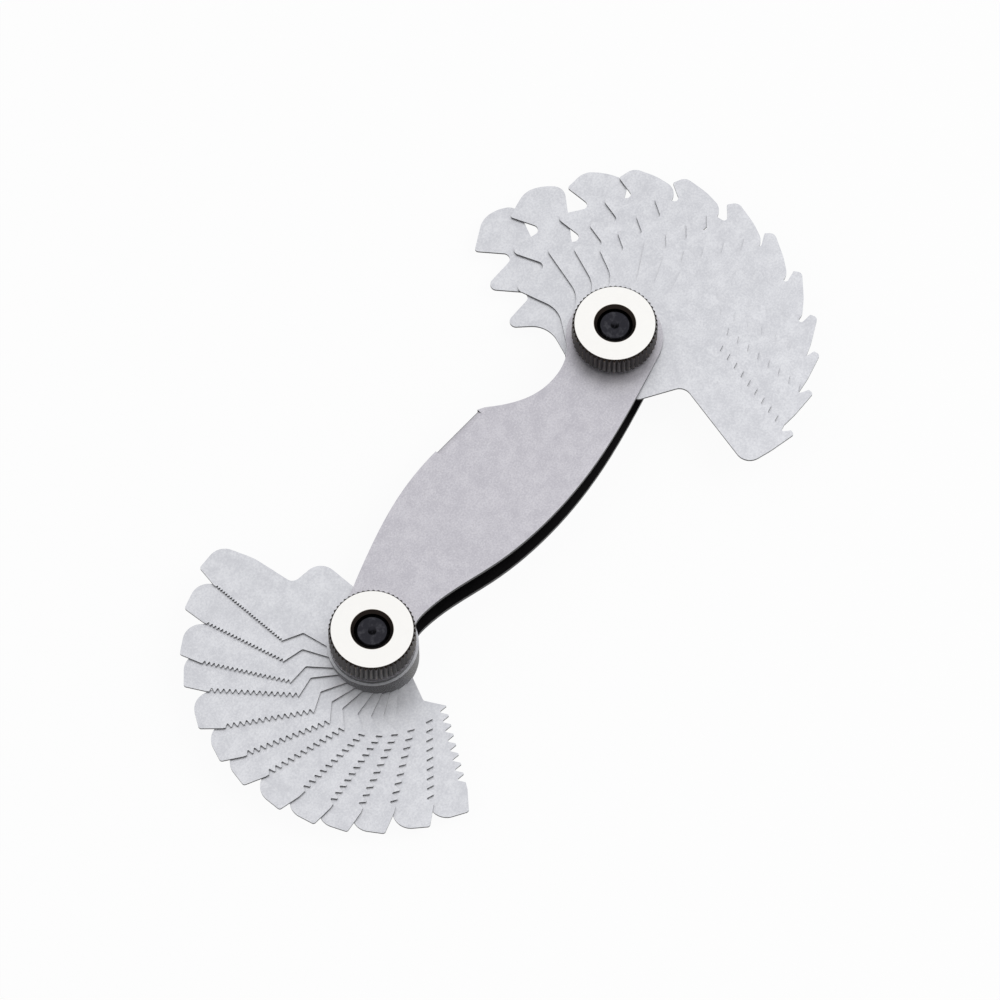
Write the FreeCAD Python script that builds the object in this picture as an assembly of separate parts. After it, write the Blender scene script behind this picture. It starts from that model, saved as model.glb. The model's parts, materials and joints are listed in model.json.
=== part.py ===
import FreeCAD, Part
import math
import os

V = FreeCAD.Vector
UP = V(0, 0, 1)

# Folding thread pitch gauge, in millimetres and degrees.
# Origin: on the fine set's pivot axis, at the flat faces of the two screw heads that the gauge
# rests on. +X points to the coarse set's pivot and +Z to the knurled nuts.

# Case: one sheet folded round the blades
pivot_spacing = 55.1
sheet_thickness = 0.65
fine_end_radius = 5.75
coarse_end_radius = 6.6
crown_height = 9.75         # of the case above the pivot line, at its widest
crown_from_fine_pivot = 20.7
crown_start_angle = 80      # on the fine end, where the upper edge leaves it
crown_start_slope = 16.7
shoulder_share = 0.45       # of the way from the fine end to the crown
shoulder_bulge = 0.55
belly_depth = 8.95          # of the case below the pivot line, at its widest
belly_from_coarse_pivot = 18.4
belly_start_angle = -80     # on the coarse end, where the lower edge leaves it
belly_start_slope = -170.4
waist_depth = 6.5           # where the lower edge begins to fall to the belly
waist_from_fine_pivot = 18.4
fold_inner_radius = 0.3
fold_length = 8.3
fold_angle = -6.4           # of the fold line to the pivot line
fold_from_coarse_pivot = 19.7
fold_height = 8.6           # of the fold line's end above the pivot line
recess_lip_length = 0.85    # between the fold and the thumb recess
recess_lip_depth = 0.55
recess_floor = 3.0          # thumb recess beside the coarse pivot
recess_from_coarse_pivot = 9.8
recess_start_slope = -47.7
recess_end_slope = 40.9
recess_end_angle = 137      # on the coarse end
notch_floor = 3.1           # thumb notch beside the fine pivot
notch_from_fine_pivot = 7.55
notch_end_slope = -143
notch_end_angle = -37       # on the fine end

# Blades
blade_thickness = 0.32
layer_clearance = 0.02
fine_threads_per_inch = [60, 48, 40, 32, 30, 28, 26, 25, 24, 22, 20, 19, 18]
coarse_threads_per_inch = [16, 14, 12, 11, 10, 9, 8, 7, 6, 5, 4.5, 4]
# Directions of the toothed edges with the gauge fanned out, top layer first
fine_fan = [84.5, 98, 112.5, 122.5, 136.5, 148.5, 158.5, 171.5, 182.5, 192.5, 203.5, 217, 229.5]
coarse_fan = [-109.5, -95.5, -83, -71, -56, -41, -26.5, -9, 7, 22.5, 42.5, 58.5]

# Fine blade, from its pivot: along the toothed edge, and across it towards the teeth
fine_hub_radius = 6.1
fine_neck_angle = 45        # on the hub, where the neck leaves it
fine_edge_offset = 7.7
fine_edge_start = 9.3
fine_edge_length = 12.15
fine_notch_depth = 2.75
fine_notch_length = 1.4
fine_notch_round = 0.3
fine_tip_length = 3.1
fine_tip_relief = 0.55
fine_tip_round = 0.4
fine_end_width = 4.15
fine_end_rake = 0.3
fine_end_round = 2.45
fine_back_offset = 0.55
fine_back_taper = 0.75
fine_back_length = 6.2
fine_back_sweep = 7.5       # radius of the long bend in the back
fine_back_step = 0.55       # between the shoulder and the back
fine_back_round = 1.15
fine_shoulder_reach = 13.2
fine_shoulder_depth = 4.35
fine_shoulder_round = 2.45

# Coarse blade, from its pivot in the same way
coarse_hub_radius = 6.3
coarse_neck_angle = 82      # on the hub, where the neck leaves it
coarse_heel_angle = -62     # on the hub, where the back leaves it
coarse_edge_offset = 11.7
coarse_edge_start = 8.9
coarse_blade_length = 25.4
coarse_tip_rounds = [0.4, 0.4, 0.5, 0.6, 0.7, 0.9, 1.1, 1.4, 1.9, 2.8, 4.0, 4.5]
tip_land_share = 0.25       # of a pitch, from the last crest to the blade's end
tip_setback_share = 0.45    # of the tip's rounding, by which the last crest moves back
tip_drop_share = 0.7        # of the extra rounding, by which the tip's corner drops
coarse_end_bulge_share = 0.1    # of a pitch, by which the end swells past the tip
coarse_end_round = 9.0
coarse_heel_round = 2.25
coarse_neck_reach = 6.95
coarse_neck_offset = 6.7
coarse_neck_radius = 3.8
coarse_back_offset = 3.7
coarse_back_start = 11.2
coarse_back_round = 1.7
coarse_shoulder_reach = 9.25
coarse_shoulder_depth = 2.65
coarse_shoulder_round = 0.95

# Screws, washers and nuts
screw_diameter = 4.7
head_diameter = 9.0
head_height = 0.95
head_chamfer = 0.25
end_chamfer = 0.4
end_recess = 0.55
dimple_diameter = 1.15
bore_clearance = 0.05       # radial, round the screw
washer_thickness = 0.3
washer_diameter = 8.5
nut_diameter = 11.6
nut_height = 3.85
nut_chamfer = 0.35
nut_countersink = 0.45
knurl_count = 52
knurl_depth = 0.3
knurl_relief = 0.01         # keeps the turned profile off the knurls' crests
cut_margin = 1.0            # by which a cutting block passes the faces it cuts
least_room = 0.49           # of an edge, that the rounding at one of its ends may use

# Whitworth form, as shares of the pitch
FLANK_HALF_ANGLE = 27.5
SHARP_HEIGHT = 0.5 / math.tan(math.radians(FLANK_HALF_ANGLE))
TRUNCATION = SHARP_HEIGHT / 6
THREAD_DEPTH = SHARP_HEIGHT - 2 * TRUNCATION
CREST_HALF = TRUNCATION * math.tan(math.radians(FLANK_HALF_ANGLE))
THREAD_RADIUS = 0.1373
INCH = 25.4

# Levels and places that follow from the sizes above
layer_pitch = blade_thickness + layer_clearance
layer_count = len(fine_threads_per_inch)
slot_height = layer_count * layer_pitch + layer_clearance
floor_level = head_height + sheet_thickness
roof_level = floor_level + slot_height
deck_level = roof_level + sheet_thickness
nut_level = deck_level + washer_thickness
screw_top = nut_level + nut_height - end_recess
bore_radius = screw_diameter / 2 + bore_clearance
fine_pivot = V(0, 0, 0)
coarse_pivot = V(pivot_spacing, 0, 0)


def polar(radius, angle, centre=V(0, 0, 0)):
    """Return the point at a radius and an angle in degrees from a centre."""
    turn = math.radians(angle)
    return centre + V(radius * math.cos(turn), radius * math.sin(turn), 0)


def corner_arc(before, corner, after, radius):
    """Return the three points of the arc that rounds a corner."""
    back = (before - corner).normalize()
    ahead = (after - corner).normalize()
    half = back.getAngle(ahead) / 2
    inward = (back + ahead).normalize()
    room = least_room * min(before.distanceToPoint(corner), after.distanceToPoint(corner))
    radius = min(radius, room * math.tan(half))
    start = corner + back * (radius / math.tan(half))
    middle = corner + inward * (radius / math.sin(half) - radius)
    end = corner + ahead * (radius / math.tan(half))
    return start, middle, end


def rounded_edges(corners):
    """Join corners (x, y, radius) with straight edges and round each inner corner."""
    points = [V(x, y, 0) for x, y, radius in corners]
    edges = []
    last = points[0]
    for i in range(1, len(corners) - 1):
        radius = corners[i][2]
        if radius == 0:
            edges.append(Part.makeLine(last, points[i]))
            last = points[i]
            continue
        start, middle, end = corner_arc(points[i - 1], points[i], points[i + 1], radius)
        edges.append(Part.makeLine(last, start))
        edges.append(Part.Arc(start, middle, end).toShape())
        last = end
    edges.append(Part.makeLine(last, points[-1]))
    return edges


def hub_arc(start, end, centre, through):
    """Return the arc of a hub between two of its points, by way of a third."""
    return Part.Arc(start, centre + through, end).toShape()


def plate(edges, bores, bottom, thickness):
    """Extrude a closed outline with round bores upwards from a level."""
    wires = [Part.Wire(Part.__sortEdges__(edges))]
    for centre, radius in bores:
        wires.append(Part.Wire(Part.makeCircle(radius, centre, UP)))
    face = Part.makeFace(wires, "Part::FaceMakerBullseye")
    face.translate(UP * bottom)
    return face.extrude(UP * thickness)


def disc(radius, height, bottom, centre):
    """Return an upright cylinder."""
    return Part.makeCylinder(radius, height, centre + UP * bottom)


def write(shape, name):
    """Write one node."""
    shape.exportStep("parts/" + name + ".step")


def spline(points, start_tangent, end_tangent):
    """Return a smooth edge through points with set directions at its ends."""
    curve = Part.BSplineCurve()
    curve.interpolate(Points=points, InitialTangent=start_tangent, FinalTangent=end_tangent)
    return curve.toShape()


# Case

def case_outline():
    """Return the edges of the case's plan, and the fold line's start and direction."""
    fold = V(math.cos(math.radians(fold_angle)), math.sin(math.radians(fold_angle)), 0)
    fold_end = V(pivot_spacing - fold_from_coarse_pivot, fold_height, 0)
    fold_start = fold_end - fold * fold_length
    top_start = polar(fine_end_radius, crown_start_angle)
    crown = V(crown_from_fine_pivot, crown_height, 0)
    shoulder = top_start + (crown - top_start) * shoulder_share + V(0, shoulder_bulge, 0)
    top = spline([top_start, shoulder, crown, fold_start], polar(1, crown_start_slope), fold)

    recess_start = fold_end + V(recess_lip_length, -recess_lip_depth, 0)
    recess_middle = V(pivot_spacing - recess_from_coarse_pivot, recess_floor, 0)
    recess_end = polar(coarse_end_radius, recess_end_angle, coarse_pivot)
    recess = spline(
        [recess_start, recess_middle, recess_end],
        polar(1, recess_start_slope),
        polar(1, recess_end_slope),
    )

    belly_start = polar(coarse_end_radius, belly_start_angle, coarse_pivot)
    belly = V(pivot_spacing - belly_from_coarse_pivot, -belly_depth, 0)
    waist = V(waist_from_fine_pivot, -waist_depth, 0)
    notch_middle = V(notch_from_fine_pivot, -notch_floor, 0)
    notch_end = polar(fine_end_radius, notch_end_angle)
    bottom = spline(
        [belly_start, belly, waist, notch_middle, notch_end],
        polar(1, belly_start_slope),
        polar(1, notch_end_slope),
    )
    return [
        hub_arc(notch_end, top_start, fine_pivot, V(-fine_end_radius, 0, 0)),
        top,
        Part.makeLine(fold_start, fold_end),
        Part.makeLine(fold_end, recess_start),
        recess,
        hub_arc(recess_end, belly_start, coarse_pivot, V(coarse_end_radius, 0, 0)),
        bottom,
    ], fold_start, fold


def fold_section():
    """Return the fold's cross-section: across the case, and up from the floor's underside."""
    outer = fold_inner_radius + sheet_thickness
    bottom = head_height
    top = deck_level
    turn = outer * (1 - math.sqrt(0.5))
    inner_turn = outer - fold_inner_radius * math.sqrt(0.5)
    edges = [
        Part.makeLine(V(0, outer, bottom), V(0, outer, floor_level)),
        Part.Arc(
            V(0, outer, floor_level),
            V(0, inner_turn, bottom + inner_turn),
            V(0, sheet_thickness, bottom + outer),
        ).toShape(),
        Part.makeLine(
            V(0, sheet_thickness, bottom + outer), V(0, sheet_thickness, top - outer)
        ),
        Part.Arc(
            V(0, sheet_thickness, top - outer),
            V(0, inner_turn, top - inner_turn),
            V(0, outer, roof_level),
        ).toShape(),
        Part.makeLine(V(0, outer, roof_level), V(0, outer, top)),
        Part.Arc(V(0, outer, top), V(0, turn, top - turn), V(0, 0, top - outer)).toShape(),
        Part.makeLine(V(0, 0, top - outer), V(0, 0, bottom + outer)),
        Part.Arc(
            V(0, 0, bottom + outer), V(0, turn, bottom + turn), V(0, outer, bottom)
        ).toShape(),
    ]
    return Part.Face(Part.Wire(Part.__sortEdges__(edges)))


def case():
    """Return the folded sheet case."""
    outline, fold_start, fold = case_outline()
    bores = [(fine_pivot, bore_radius), (coarse_pivot, bore_radius)]
    shell = plate(outline, bores, head_height, sheet_thickness)
    shell = shell.fuse(plate(outline, bores, roof_level, sheet_thickness))

    outer = fold_inner_radius + sheet_thickness
    gap = Part.makeBox(
        fold_length, outer * 2, deck_level + 2 * cut_margin, V(0, -outer, -cut_margin)
    )
    band = fold_section().extrude(V(fold_length, 0, 0))
    band = band.mirror(V(0, 0, 0), V(0, 1, 0))
    for shape in (gap, band):
        shape.rotate(V(0, 0, 0), UP, fold_angle)
        shape.translate(fold_start)
    return shell.cut(gap).fuse(band).removeSplitter()


# Blades

def fine_teeth(pitch):
    """Return the corners of a fine toothed edge, with flat crests and roots."""
    crest_half = pitch * CREST_HALF
    depth = pitch * THREAD_DEPTH
    corners = []
    for i in range(int(fine_edge_length / pitch)):
        root = fine_edge_start + pitch * (i + 0.5)
        crest_gap = pitch / 2 - crest_half
        corners.append((root - crest_gap, fine_edge_offset, 0))
        corners.append((root - crest_half, fine_edge_offset - depth, 0))
        corners.append((root + crest_half, fine_edge_offset - depth, 0))
        corners.append((root + crest_gap, fine_edge_offset, 0))
    return corners


def fine_blade(pitch):
    """Return a fine blade's outline, with its pivot at the origin."""
    neck = polar(fine_hub_radius, fine_neck_angle)
    shoulder = math.sqrt(fine_hub_radius ** 2 - fine_shoulder_depth ** 2)
    edge_end = fine_edge_start + fine_edge_length
    blade_end = edge_end + fine_tip_length
    tip_height = fine_edge_offset - fine_tip_relief
    back_start = fine_shoulder_reach + fine_back_step
    corners = [
        (neck.x, neck.y, 0),
        (fine_edge_start - fine_notch_length, fine_edge_offset - fine_notch_depth, fine_notch_round),
        (fine_edge_start, fine_edge_offset, 0),
    ]
    corners += fine_teeth(pitch)
    corners += [
        (edge_end, fine_edge_offset, 0),
        (blade_end, tip_height, fine_tip_round),
        (blade_end + fine_end_rake, tip_height - fine_end_width, fine_end_round),
        (back_start + fine_back_length, fine_back_offset + fine_back_taper, fine_back_sweep),
        (back_start, fine_back_offset, fine_back_round),
        (fine_shoulder_reach, -fine_shoulder_depth, fine_shoulder_round),
        (shoulder, -fine_shoulder_depth, 0),
    ]
    edges = rounded_edges(corners)
    start = V(shoulder, -fine_shoulder_depth, 0)
    edges.append(hub_arc(start, neck, V(0, 0, 0), V(-fine_hub_radius, 0, 0)))
    return edges


def coarse_teeth(pitch, tip_round):
    """Return the corners of a coarse toothed edge, whose radii round crests and roots."""
    radius = pitch * THREAD_RADIUS
    crest = coarse_edge_offset + pitch * TRUNCATION
    root = crest - pitch * SHARP_HEIGHT
    last = coarse_blade_length - tip_land_share * pitch - tip_setback_share * tip_round
    count = int((last - coarse_edge_start) / pitch)
    corners = []
    for i in range(count, 0, -1):
        corners.append((last - i * pitch, crest, radius))
        corners.append((last - (i - 0.5) * pitch, root, radius))
    corners.append((last - pitch * CREST_HALF, coarse_edge_offset, radius / 2))
    return corners


def coarse_blade(pitch, tip_round):
    """Return a coarse blade's outline, with its pivot at the origin."""
    neck = polar(coarse_hub_radius, coarse_neck_angle)
    heel = polar(coarse_hub_radius, coarse_heel_angle)
    tip_drop = tip_drop_share * (tip_round - coarse_tip_rounds[0])
    corners = [
        (neck.x, neck.y, 0),
        (coarse_neck_reach, coarse_neck_offset, coarse_neck_radius),
    ]
    corners += coarse_teeth(pitch, tip_round)
    end_bulge = coarse_end_bulge_share * pitch
    end_middle = (coarse_edge_offset - tip_drop + coarse_back_offset) / 2
    corners += [
        (coarse_blade_length, coarse_edge_offset - tip_drop, tip_round),
        (coarse_blade_length + end_bulge, end_middle, coarse_end_round),
        (coarse_blade_length, coarse_back_offset, coarse_heel_round),
        (coarse_back_start, coarse_back_offset, coarse_back_round),
        (coarse_shoulder_reach, -coarse_shoulder_depth, coarse_shoulder_round),
        (heel.x, heel.y, 0),
    ]
    edges = rounded_edges(corners)
    edges.append(hub_arc(heel, neck, V(0, 0, 0), V(-coarse_hub_radius, 0, 0)))
    return edges


def blade(outline, angle, pivot, layer):
    """Extrude a blade and place it in its layer, counted from the top."""
    level = roof_level - (layer + 1) * layer_pitch
    solid = plate(outline, [(V(0, 0, 0), bore_radius)], level, blade_thickness)
    solid.rotate(V(0, 0, 0), UP, angle)
    solid.translate(pivot)
    return solid


# Screws, washers and nuts

def pivot_screw(pivot):
    """Return a flat-headed screw with a chamfered end and a centre dimple."""
    radius = screw_diameter / 2
    head = Part.makeCylinder(head_diameter / 2, head_height, pivot)
    head = head.makeChamfer(head_chamfer, [head.Edges[2]])
    shank = disc(radius - end_chamfer, screw_top - head_height, head_height, pivot)
    body = disc(radius, screw_top - end_chamfer - head_height, head_height, pivot)
    point = Part.makeCone(
        radius, radius - end_chamfer, end_chamfer, pivot + UP * (screw_top - end_chamfer)
    )
    dimple = Part.makeCone(
        0, dimple_diameter / 2, dimple_diameter / 2, pivot + UP * (screw_top - dimple_diameter / 2)
    )
    return head.fuse([shank, body, point]).cut(dimple).removeSplitter()


def washer(bottom, thickness, diameter, pivot):
    """Return a flat washer."""
    ring = disc(diameter / 2, thickness, bottom, pivot)
    return ring.cut(disc(bore_radius, thickness, bottom, pivot))


def knurled_nut(pivot):
    """Return a round nut with straight knurling and a countersunk bore."""
    crest = nut_diameter / 2
    root = crest - knurl_depth
    points = []
    for i in range(knurl_count):
        points.append(polar(crest, 360 * i / knurl_count))
        points.append(polar(root, 360 * (i + 0.5) / knurl_count))
    points.append(points[0])
    body = Part.Face(Part.makePolygon(points)).extrude(UP * nut_height)
    profile = Part.makePolygon([
        V(bore_radius, 0, 0),
        V(crest - nut_chamfer, 0, 0),
        V(crest + knurl_relief, 0, nut_chamfer),
        V(crest + knurl_relief, 0, nut_height - nut_chamfer),
        V(crest - nut_chamfer, 0, nut_height),
        V(bore_radius + nut_countersink, 0, nut_height),
        V(bore_radius, 0, nut_height - nut_countersink),
        V(bore_radius, 0, 0),
    ])
    turned = Part.Face(profile).revolve(V(0, 0, 0), UP, 360)
    body = body.common(turned)
    body.translate(pivot + UP * nut_level)
    return body


def blade_name(set_name, threads):
    """Name a blade by its threads per inch, with p for a decimal point."""
    return set_name + "_blade_" + str(threads).replace(".", "p")


os.makedirs("parts", exist_ok=True)
write(case(), "case")
for layer, threads in enumerate(fine_threads_per_inch):
    outline = fine_blade(INCH / threads)
    write(blade(outline, fine_fan[layer], fine_pivot, layer), blade_name("fine", threads))
for layer, threads in enumerate(coarse_threads_per_inch):
    outline = coarse_blade(INCH / threads, coarse_tip_rounds[layer])
    write(blade(outline, coarse_fan[layer], coarse_pivot, layer), blade_name("coarse", threads))

spacer_thickness = slot_height - len(coarse_threads_per_inch) * layer_pitch - 2 * layer_clearance
write(washer(floor_level + layer_clearance, spacer_thickness, washer_diameter, coarse_pivot),
      "coarse_spacer_washer")
for set_name, pivot in (("fine", fine_pivot), ("coarse", coarse_pivot)):
    write(pivot_screw(pivot), set_name + "_pivot_screw")
    write(washer(deck_level, washer_thickness, washer_diameter, pivot), set_name + "_nut_washer")
    write(knurled_nut(pivot), set_name + "_knurled_nut")
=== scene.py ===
import bpy
import json
import math
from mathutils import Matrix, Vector


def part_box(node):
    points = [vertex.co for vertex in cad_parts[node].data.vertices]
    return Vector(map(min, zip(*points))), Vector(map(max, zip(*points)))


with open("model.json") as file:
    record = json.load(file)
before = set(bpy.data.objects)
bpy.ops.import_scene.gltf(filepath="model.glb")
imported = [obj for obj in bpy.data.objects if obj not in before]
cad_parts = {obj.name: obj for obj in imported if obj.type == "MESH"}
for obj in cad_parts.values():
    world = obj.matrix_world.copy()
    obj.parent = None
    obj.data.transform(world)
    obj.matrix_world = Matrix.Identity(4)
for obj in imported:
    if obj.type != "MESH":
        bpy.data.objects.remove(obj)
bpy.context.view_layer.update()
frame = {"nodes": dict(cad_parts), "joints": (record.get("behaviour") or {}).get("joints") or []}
bpy.ops.object.select_all(action="DESELECT")
scene = bpy.context.scene
nodes = frame["nodes"]
joints = {joint["name"]: joint for joint in frame["joints"]}
perMetre = 1000    # the materials work in millimetres
finePivot = Vector(joints["fine_knurled_nut_turn"]["pos_m"])
coarsePivot = Vector(joints["coarse_knurled_nut_turn"]["pos_m"])
print("frame loaded:", len(nodes), "nodes")


class Wire:
    # a socket in a material's tree; arithmetic on it adds Math nodes

    def __init__(self, tree, socket):
        self.tree = tree
        self.socket = socket

    def node(self, kind, settings=None, inputs=None, output=0):
        # any other node: its settings first, then the values or links of its sockets
        made = self.tree.nodes.new(kind)
        for name, value in (settings or {}).items():
            setattr(made, name, value)
        for name, value in (inputs or {}).items():
            if isinstance(value, Wire):
                self.tree.links.new(value.socket, made.inputs[name])
            else:
                made.inputs[name].default_value = value
        return Wire(self.tree, made.outputs[output]) if made.outputs else None

    def maths(self, operation, first, second):
        return self.node("ShaderNodeMath", {"operation": operation}, {0: first, 1: second})

    def __add__(self, other):
        return self.maths("ADD", self, other)

    __radd__ = __add__

    def __sub__(self, other):
        return self.maths("SUBTRACT", self, other)

    def __rsub__(self, other):
        return self.maths("SUBTRACT", other, self)

    def __mul__(self, other):
        return self.maths("MULTIPLY", self, other)

    __rmul__ = __mul__


def step(value, low, high):
    # 0 below low, 1 above high, smooth between
    return value.node(
        "ShaderNodeMapRange",
        {"interpolation_type": "SMOOTHSTEP"},
        {"Value": value, "From Min": low, "From Max": high},
    )


def mixColour(factor, first, second):
    return factor.node(
        "ShaderNodeMix",
        {"data_type": "RGBA"},
        {0: factor, 6: first, 7: second},
        output=2,
    )


def noise(place, scale, detail=2.0, roughness=0.5):
    return place.node(
        "ShaderNodeTexNoise",
        inputs={"Vector": place, "Scale": scale, "Detail": detail, "Roughness": roughness},
    )


def newMaterial(name):
    # a material with a plain Principled shader, and a wire for its Object coordinates in mm
    material = bpy.data.materials.new(name)
    material.use_nodes = True
    tree = material.node_tree
    shader = tree.nodes["Principled BSDF"]
    start = Wire(tree, tree.nodes.new("ShaderNodeTexCoord").outputs["Object"])
    place = start.node(
        "ShaderNodeVectorMath",
        {"operation": "MULTIPLY"},
        {0: start, 1: (perMetre, perMetre, perMetre)},
    )
    return material, shader, place


def facing(place):
    # how far a face looks up or down: 1 on a flat side, 0 on a cut edge
    geometry = Wire(place.tree, place.tree.nodes.new("ShaderNodeNewGeometry").outputs["True Normal"])
    level = geometry.node("ShaderNodeSeparateXYZ", inputs={0: geometry}, output=2)
    return level.node("ShaderNodeMath", {"operation": "ABSOLUTE"}, {0: level})


def axis(place, index):
    return place.node("ShaderNodeSeparateXYZ", inputs={0: place}, output=index)


def stretched(place, scale):
    return place.node("ShaderNodeVectorMath", {"operation": "MULTIPLY"}, {0: place, 1: scale})


def turned(place, angle):
    return place.node(
        "ShaderNodeMapping", inputs={"Vector": place, "Rotation": (0, 0, math.radians(angle))}
    )


def connect(shader, name, wire):
    wire.tree.links.new(wire.socket, shader.inputs[name])


def bump(shader, height, distance, strength):
    normal = height.node(
        "ShaderNodeBump", inputs={"Height": height, "Distance": distance, "Strength": strength}
    )
    connect(shader, "Normal", normal)


# Satin steel of the folded case

caseSteel = {
    "sheet": (0.470, 0.458, 0.500, 1),
    "stain": (0.590, 0.578, 0.615, 1),
    # painted shade: near black for the case's upright walls and cut edges
    "paintedEdgeShade": (0.030, 0.029, 0.030, 1),
    # painted shade: near black inside the case, between its plates
    "paintedSlotShade": (0.020, 0.019, 0.020, 1),
    "flatFrom": 0.4,            # how level a face is where the sheet's colour begins and is full; steeper faces get painted shade
    "flatFull": 0.8,
    "insideLow": (0.06, 0.03),  # below the lowest blade, where the painted shade inside the case fades in
    "insideHigh": (0.005, 0.015),
    "cloudScale": 0.55,
    "speckScale": 4.2,
    "cloudShare": 0.35,
    "stainRange": (0.38, 0.64),
    "roughness": 0.42,
    "roughnessSpread": 0.12,
    "strokes": (0.5, 14, 1),    # the grinding marks' stretch along and across the case
    "grain": 0.000012,
    "bumpStrength": 0.35,
}


def makeCaseSteel():
    size = caseSteel
    material, shader, place = newMaterial("caseSteel")
    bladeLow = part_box("fine_blade_18")[0][2] * perMetre
    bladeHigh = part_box("fine_blade_60")[1][2] * perMetre
    height = axis(place, 2)
    lowStart, lowEnd = size["insideLow"]
    highStart, highEnd = size["insideHigh"]
    # painted shade on the case, from just below the lowest blade to just above the highest
    slot = step(height, bladeLow - lowStart, bladeLow - lowEnd) * (
        1 - step(height, bladeHigh + highStart, bladeHigh + highEnd)
    )
    cloud = noise(place, size["cloudScale"], detail=4, roughness=0.65)
    speck = noise(place, size["speckScale"], detail=3, roughness=0.7)
    mottle = cloud * size["cloudShare"] + speck * (1 - size["cloudShare"])
    colour = mixColour(step(mottle, *size["stainRange"]), size["sheet"], size["stain"])
    # painted shade: faces that are not level take the near-black colour
    flat = step(facing(place), size["flatFrom"], size["flatFull"])
    colour = mixColour(flat, size["paintedEdgeShade"], colour)
    colour = mixColour(slot, colour, size["paintedSlotShade"])
    connect(shader, "Base Color", colour)
    shader.inputs["Metallic"].default_value = 1
    connect(shader, "Roughness", size["roughness"] + size["roughnessSpread"] * (cloud - 0.5))
    strokes = noise(stretched(place, size["strokes"]), 1.0, detail=3)
    bump(shader, strokes * 0.5 + speck, size["grain"], size["bumpStrength"])
    return material


# Ground steel of the blades

bladeSteel = {
    "sheet": (0.560, 0.566, 0.600, 1),
    "stain": (0.690, 0.696, 0.725, 1),
    # painted shade: near black for the blades' upright walls and toothed edges
    "paintedEdgeShade": (0.045, 0.043, 0.043, 1),
    "flatFrom": 0.4,
    "flatFull": 0.8,
    "cloudScale": 0.42,
    "speckScale": 3.6,
    "cloudShare": 0.4,
    "stainRange": (0.36, 0.66),
    "roughness": 0.40,
    "roughnessSpread": 0.14,
    "strokes": (0.4, 12, 1),
    "grain": 0.000010,
    "bumpStrength": 0.35,
    "shiftStep": 7.0,           # between one blade's stains and the next one's
}


def makeBladeSteel(name, angle, shift):
    # each blade is ground along its own length and stained in its own way
    size = bladeSteel
    material, shader, place = newMaterial(name)
    own = place.node("ShaderNodeVectorMath", {"operation": "ADD"}, {0: place, 1: (0, 0, shift)})
    cloud = noise(own, size["cloudScale"], detail=4, roughness=0.6)
    speck = noise(own, size["speckScale"], detail=3, roughness=0.7)
    mottle = cloud * size["cloudShare"] + speck * (1 - size["cloudShare"])
    colour = mixColour(step(mottle, *size["stainRange"]), size["sheet"], size["stain"])
    # painted shade: faces that are not level take the near-black colour
    flat = step(facing(place), size["flatFrom"], size["flatFull"])
    connect(shader, "Base Color", mixColour(flat, size["paintedEdgeShade"], colour))
    shader.inputs["Metallic"].default_value = 1
    connect(shader, "Roughness", size["roughness"] + size["roughnessSpread"] * (cloud - 0.5))
    strokes = noise(stretched(turned(own, -angle), size["strokes"]), 1.0, detail=3)
    bump(shader, strokes * 0.6 + speck, size["grain"], size["bumpStrength"])
    return material


# Bright plated nuts, with painted shade on the knurled sides

nutPlate = {
    "face": (0.900, 0.890, 0.870, 1),
    "mouth": (0.330, 0.260, 0.170, 1),
    # painted shade: near black for the knurled side and the chamfer
    "knurl": (0.018, 0.014, 0.012, 1),
    "crest": (0.300, 0.215, 0.120, 1),
    "flatFrom": 0.82,           # high, so that the chamfer takes the side's painted shade
    "flatFull": 0.95,
    "crestDepth": (0.10, 0.01), # below the nut's rim, where the brown-gold flecks on the knurls begin
    "speckScale": 3.0,
    "patchRange": (0.52, 0.70),
    "mouthRadius": (2.83, 2.90),
    "ringsPerMm": 34,
    "roughness": 0.24,
    "roughnessSpread": 0.16,
    "grain": 0.000008,
    "bumpStrength": 0.3,
}


def makeNutPlate(name, node, pivot):
    size = nutPlate
    material, shader, place = newMaterial(name)
    low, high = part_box(node)
    radius = (high[0] - low[0]) * perMetre / 2
    centred = place.node(
        "ShaderNodeVectorMath", {"operation": "SUBTRACT"}, {0: place, 1: tuple(pivot * perMetre)}
    )
    flatPlace = stretched(centred, (1, 1, 0))
    reach = flatPlace.node("ShaderNodeVectorMath", {"operation": "LENGTH"}, {0: flatPlace}, output=1)
    flat = step(facing(place), size["flatFrom"], size["flatFull"])
    speck = noise(place, size["speckScale"], detail=3, roughness=0.6)
    crestStart, crestEnd = size["crestDepth"]
    crest = step(reach, radius - crestStart, radius - crestEnd) * step(speck, *size["patchRange"])
    # painted shade on the knurled side and chamfer, with brown-gold flecks near the rim
    side = mixColour(crest, size["knurl"], size["crest"])
    mouth = 1 - step(reach, *size["mouthRadius"])
    face = mixColour(mouth, size["face"], size["mouth"])
    connect(shader, "Base Color", mixColour(flat, side, face))
    shader.inputs["Metallic"].default_value = 1
    connect(shader, "Roughness", size["roughness"] + size["roughnessSpread"] * speck)
    rings = reach.node("ShaderNodeMath", {"operation": "SINE"}, {0: reach * size["ringsPerMm"]})
    bump(shader, rings * 0.5 + speck, size["grain"], size["bumpStrength"])
    return material


# Near-black steel of the screws and washers

screwSteel = {
    "oiled": (0.026, 0.026, 0.032, 1),
    "worn": (0.052, 0.052, 0.060, 1),
    "cloudScale": 1.6,
    "grainScale": 9,
    "patchRange": (0.45, 0.68),
    "roughness": 0.34,
    "roughnessSpread": 0.2,
    "grain": 0.000012,
    "bumpStrength": 0.4,
}


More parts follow.
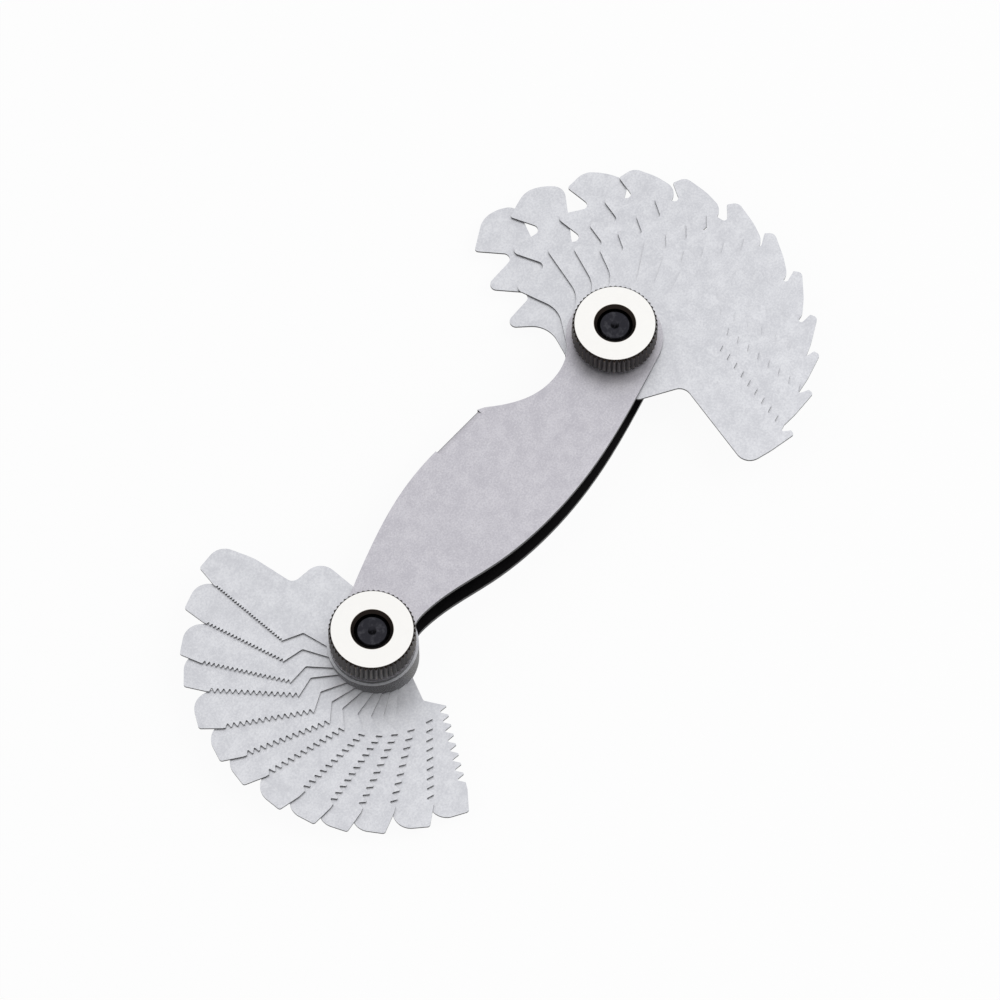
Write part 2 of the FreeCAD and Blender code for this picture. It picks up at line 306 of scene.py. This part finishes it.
def makeScrewSteel():
    size = screwSteel
    material, shader, place = newMaterial("screwSteel")
    cloud = noise(place, size["cloudScale"], detail=4, roughness=0.6)
    worn = step(cloud, *size["patchRange"])
    connect(shader, "Base Color", mixColour(worn, size["oiled"], size["worn"]))
    shader.inputs["Metallic"].default_value = 1
    connect(shader, "Roughness", size["roughness"] + size["roughnessSpread"] * (cloud - 0.5))
    fine = noise(place, size["grainScale"], detail=3)
    bump(shader, fine, size["grain"], size["bumpStrength"])
    return material


def dress(node, material):
    for place in range(max(1, len(nodes[node].data.materials))):
        if not nodes[node].material_slots:
            nodes[node].data.materials.append(material)
        nodes[node].material_slots[place].material = material


dress("case", makeCaseSteel())
screwMaterial = makeScrewSteel()
for node in sorted(nodes):
    if "screw" in node or "washer" in node:
        dress(node, screwMaterial)
for setName, pivot in (("fine", finePivot), ("coarse", coarsePivot)):
    node = setName + "_knurled_nut"
    dress(node, makeNutPlate(setName + "NutPlate", node, pivot))
for count, node in enumerate(sorted(nodes)):
    if "_blade_" in node:
        pivot = finePivot if node.startswith("fine") else coarsePivot
        low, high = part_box(node)
        reach = Vector(((low[0] + high[0]) / 2, (low[1] + high[1]) / 2, 0)) - pivot
        angle = math.degrees(math.atan2(reach[1], reach[0]))
        shift = count * bladeSteel["shiftStep"]
        dress(node, makeBladeSteel("bladeSteel" + str(count), angle, shift))
print("materials made:", len(bpy.data.materials))


# Floor, backdrop and light

studio = {
    "floorSize": 3.0,
    "floorColour": (0.92, 0.92, 0.925, 1),
    "glow": 0.93,               # share of the floor's white that doesn't take a shadow
    "worldStrength": 0.62,
    "keyPlace": (0.35, -0.30, 0.55),
    "keyPower": 1.1,
    "keySize": 0.45,
    "fillPlace": (-0.40, 0.35, 0.60),
    "fillPower": 0.5,
    "fillSize": 0.60,
}

# A long lens, looking down on the nuts from the fine set's side
view = {
    "elevation": 66.0,
    "azimuth": -54.13,
    "distance": 0.730,
    "lens": 198.0,
    "sensor": 36.0,
    "target": Vector((0.02491, -0.00273, 0.01083)),
}


def seenDirectly(tree):
    rays = tree.nodes.new("ShaderNodeLightPath")
    camera = Wire(tree, rays.outputs["Is Camera Ray"])
    glossy = Wire(tree, rays.outputs["Is Glossy Ray"])
    through = Wire(tree, rays.outputs["Is Transmission Ray"])
    return camera.node(
        "ShaderNodeMath", {"operation": "ADD", "use_clamp": True}, {0: camera + glossy, 1: through}
    )


def makeFloor():
    bpy.ops.object.select_all(action="DESELECT")
    bpy.ops.mesh.primitive_plane_add(size=studio["floorSize"], location=(0, 0, 0))
    floor = bpy.context.object
    floor.name = "studioFloor"
    material = bpy.data.materials.new("studioFloor")
    material.use_nodes = True
    tree = material.node_tree
    tree.nodes.clear()
    seen = seenDirectly(tree)
    paint = seen.node("ShaderNodeBsdfDiffuse", inputs={"Color": studio["floorColour"]})
    glow = seen.node("ShaderNodeEmission", inputs={"Color": (1, 1, 1, 1), "Strength": 1.0})
    mixed = seen.node(
        "ShaderNodeMixShader", inputs={0: seen * studio["glow"], 1: paint, 2: glow}
    )
    mixed.node("ShaderNodeOutputMaterial", inputs={"Surface": mixed})
    floor.data.materials.append(material)


def makeWorld():
    world = bpy.data.worlds.new("studioWorld")
    scene.world = world
    world.use_nodes = True
    tree = world.node_tree
    tree.nodes.clear()
    seen = seenDirectly(tree)
    soft = seen.node(
        "ShaderNodeBackground",
        inputs={"Color": (1, 1, 1, 1), "Strength": studio["worldStrength"]},
    )
    white = seen.node("ShaderNodeBackground", inputs={"Color": (1, 1, 1, 1), "Strength": 1.0})
    mixed = seen.node("ShaderNodeMixShader", inputs={0: seen, 1: soft, 2: white})
    mixed.node("ShaderNodeOutputWorld", inputs={"Surface": mixed})


def addSoftbox(name, place, power, size, aim):
    bpy.ops.object.light_add(type="AREA", location=place)
    lamp = bpy.context.object
    lamp.name = name
    lamp.data.energy = power
    lamp.data.size = size
    lamp.rotation_euler = (aim - Vector(place)).to_track_quat("-Z", "Y").to_euler()


def addCamera():
    rise = math.radians(view["elevation"])
    turn = math.radians(view["azimuth"])
    ahead = Vector(
        (-math.sin(turn) * math.cos(rise), math.cos(turn) * math.cos(rise), -math.sin(rise))
    )
    bpy.ops.object.camera_add(location=view["target"] - ahead * view["distance"])
    camera = bpy.context.object
    camera.rotation_euler = ahead.to_track_quat("-Z", "Y").to_euler()
    camera.data.lens = view["lens"]
    camera.data.sensor_width = view["sensor"]
    scene.camera = camera


middle = (finePivot + coarsePivot) / 2
makeFloor()
makeWorld()
for lamp in ("key", "fill"):
    place, power, size = (studio[lamp + word] for word in ("Place", "Power", "Size"))
    addSoftbox(lamp + "Light", place, power, size, middle)
addCamera()
scene.view_settings.view_transform = "Standard"
print("studio made")
